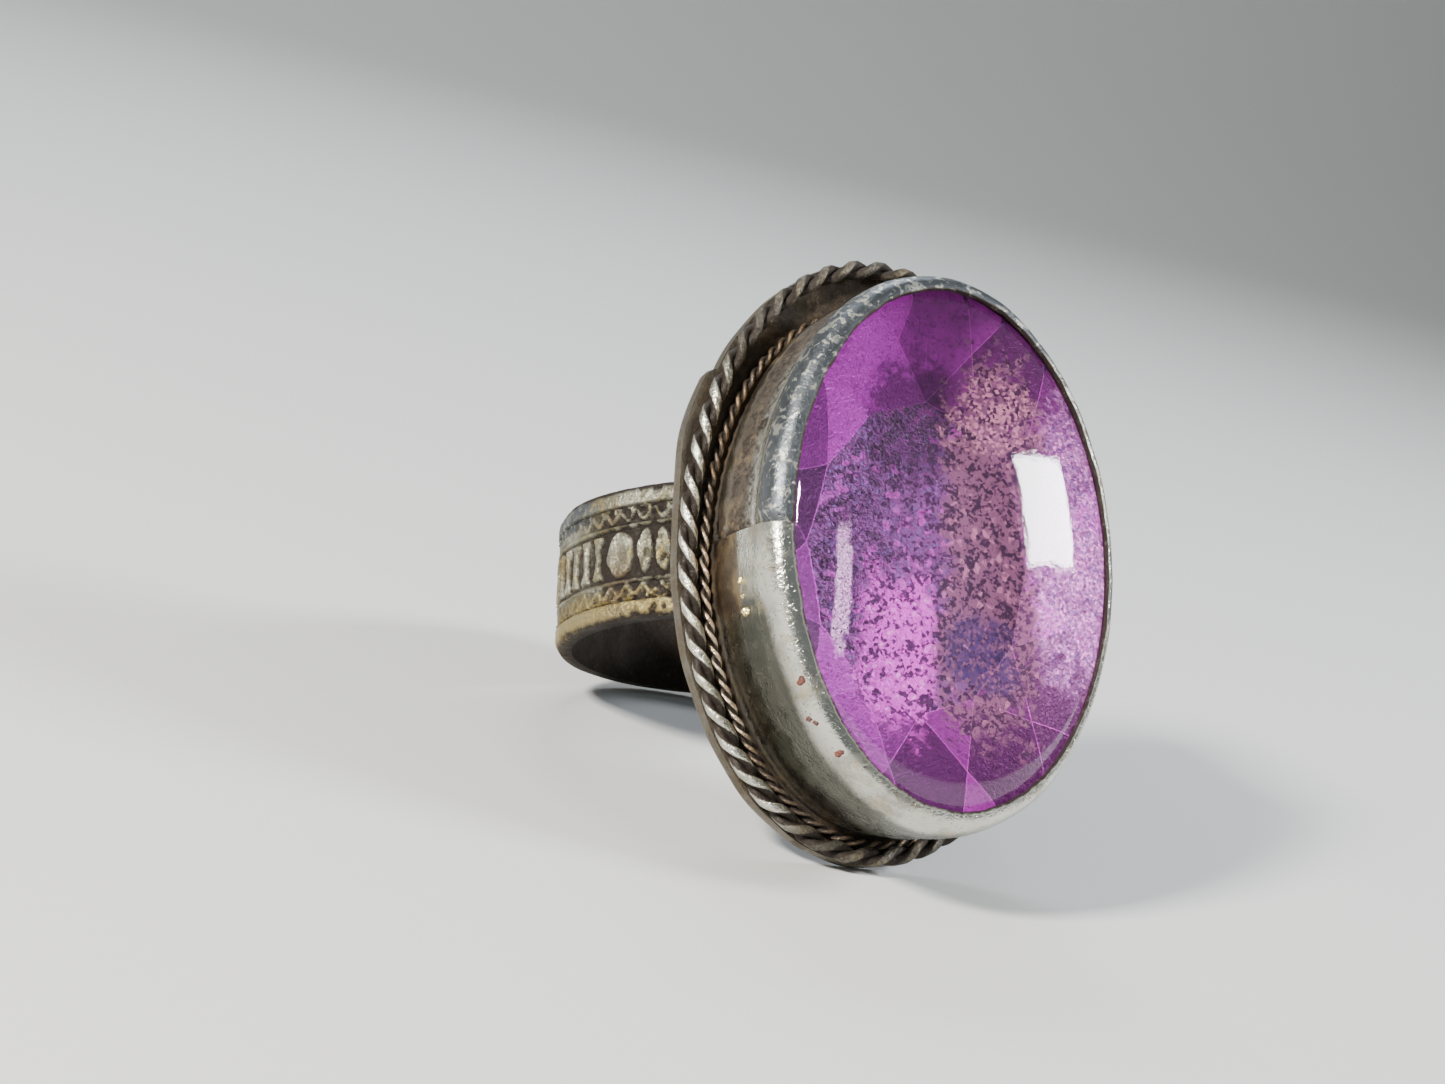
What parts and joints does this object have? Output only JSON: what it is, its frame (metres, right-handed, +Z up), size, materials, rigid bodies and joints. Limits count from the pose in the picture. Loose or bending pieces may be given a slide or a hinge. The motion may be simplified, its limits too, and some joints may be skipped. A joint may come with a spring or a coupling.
{
  "type": "finger ring",
  "caption": "Large oval ring: patterned band, twisted-wire rim, wrapped bezel and a purple foil-backed buff-top glass stone.",
  "frame": {"origin": "middle of the finger bore", "axes": "the ring as it rests on a table: +Z up, +X across the finger, -Y out of the front; the stone faces -Y and leans back, and the finger axis lies in the YZ plane"},
  "size_m": [0.022, 0.0333, 0.0274],
  "materials": {
    "band_alloy": "worn nickel-silver and brass alloy, dark in its recesses",
    "plate_alloy": "dull brown-grey tarnished sheet",
    "wire_silver": "twisted silver wire, bright on its crests and black in its grooves",
    "wire_gilt": "fine twisted wire with coppery gilt remains",
    "bezel_silver": "hand-burnished silver with copper-toned patina on its older half",
    "purple_glass": "polished dome over cut facets",
    "decayed_foil": "pink foil, spotted dark where it has decayed",
    "lac": "red-brown lac",
    "solder": "yellowish hard solder"
  },
  "bodies": {
    "root": {"shank_band": "band_alloy", "base_plate": "plate_alloy", "rim_wire_a": "wire_silver", "rim_wire_b": "wire_silver", "foot_wire_a": "wire_gilt", "foot_wire_b": "wire_gilt", "bezel_strip": "bezel_silver", "glass_stone": "purple_glass", "foil_backing": "decayed_foil", "setting_bed": "lac", "shank_solder": "solder", "seam_solder": "solder"}
  },
  "joints": []
}
